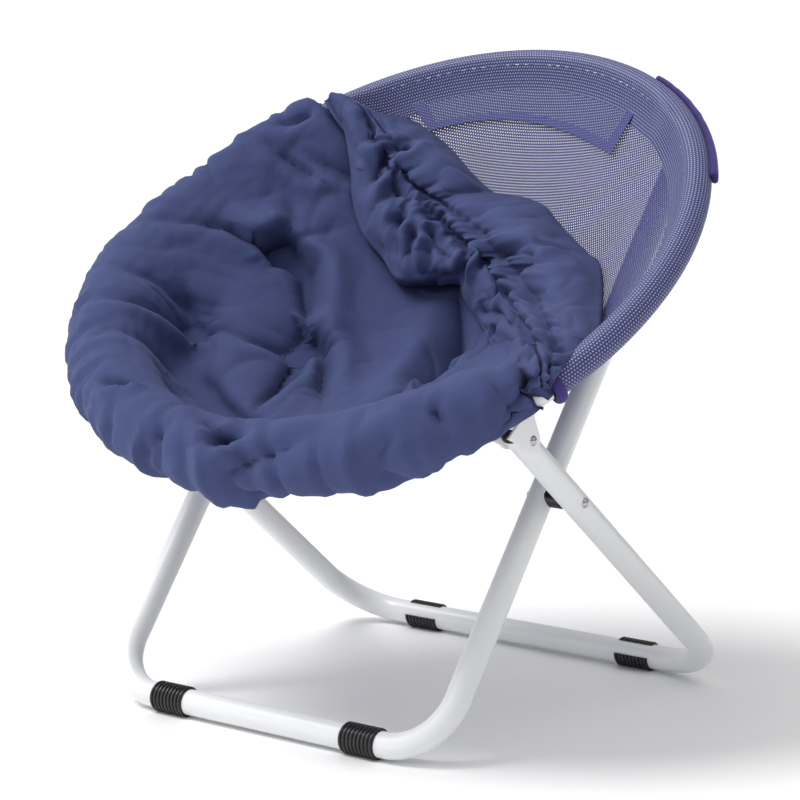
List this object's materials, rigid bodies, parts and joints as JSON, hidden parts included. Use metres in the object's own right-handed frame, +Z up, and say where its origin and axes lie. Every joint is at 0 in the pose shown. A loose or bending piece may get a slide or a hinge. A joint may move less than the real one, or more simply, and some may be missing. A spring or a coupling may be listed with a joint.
{
  "type": "folding saucer chair",
  "caption": "Folding round saucer chair with crossed steel tube legs, mesh sling seat and a quilted padded cover partly turned back.",
  "frame": {"origin": "on the floor, under the middle of the chair's box", "axes": "+X along the chair's width, to the sitter's left; +Y to the back; +Z up"},
  "size_m": [0.7333, 0.6053, 0.7046],
  "materials": {
    "tube_paint": "satin",
    "black_plastic": "gloss",
    "rivet_steel": "polished",
    "sling_mesh": "matte",
    "edge_binding": "matte",
    "cover_cloth": "matte"
  },
  "bodies": {
    "front_frame": {"front_frame_tube": "tube_paint", "front_foot_left": "black_plastic", "front_foot_right": "black_plastic", "front_leg_plug_left": "black_plastic", "front_leg_plug_right": "black_plastic", "crossing_spacer_left": "black_plastic", "crossing_spacer_right": "black_plastic", "crossing_rivet_left": "rivet_steel", "crossing_rivet_right": "rivet_steel"},
    "rear_frame": {"rear_frame_tube": "tube_paint", "rear_foot_left": "black_plastic", "rear_foot_right": "black_plastic", "rear_leg_plug_left": "black_plastic", "rear_leg_plug_right": "black_plastic", "crossing_cap_left": "rivet_steel", "crossing_cap_right": "rivet_steel"},
    "rear_hoop": {"rear_hoop_tube": "tube_paint", "rear_clevis_left": "tube_paint", "rear_clevis_right": "tube_paint", "rear_clevis_rivet_left": "rivet_steel", "rear_clevis_rivet_right": "rivet_steel", "hinge_fork_left": "black_plastic", "hinge_fork_right": "black_plastic", "mesh_bowl": "sling_mesh", "mesh_sleeve_rear": "sling_mesh", "back_patch": "sling_mesh", "binding_rear_left": "edge_binding", "binding_rear_right": "edge_binding", "seat_pad": "cover_cloth", "cover_roll_left": "cover_cloth", "cover_skirt": "cover_cloth", "elastic_hem": "cover_cloth"},
    "front_hoop": {"front_hoop_tube": "tube_paint", "front_clevis_left": "tube_paint", "front_clevis_right": "tube_paint", "front_clevis_rivet_left": "rivet_steel", "front_clevis_rivet_right": "rivet_steel", "hinge_tongue_left": "black_plastic", "hinge_tongue_right": "black_plastic", "hinge_pin_left": "rivet_steel", "hinge_pin_right": "rivet_steel", "mesh_sleeve_front": "sling_mesh", "cover_roll_front": "cover_cloth"}
  },
  "joints": [
    {"name": "rear_pivot", "type": "hinge", "parent": "front_frame", "child": "rear_hoop", "pos_m": [0, 0.23739, 0.60977], "axis": [1, 0, 0], "range_deg": [-3.01, 0]},
    {"name": "hoop_fold", "type": "hinge", "parent": "rear_hoop", "child": "front_hoop", "pos_m": [0, -0.1102, 0.39962], "axis": [1, 0, 0], "range_deg": [0, 70]},
    {"name": "front_pivot", "type": "hinge", "parent": "front_hoop", "child": "rear_frame", "pos_m": [0, -0.12906, 0.33388], "axis": [1, 0, 0], "range_deg": [-101.4, 0]}
  ],
  "couplings": [
    {"joint": "rear_pivot", "follows": "hoop_fold", "ratio": -0.04286},
    {"joint": "front_pivot", "follows": "hoop_fold", "ratio": -1.4484}
  ]
}
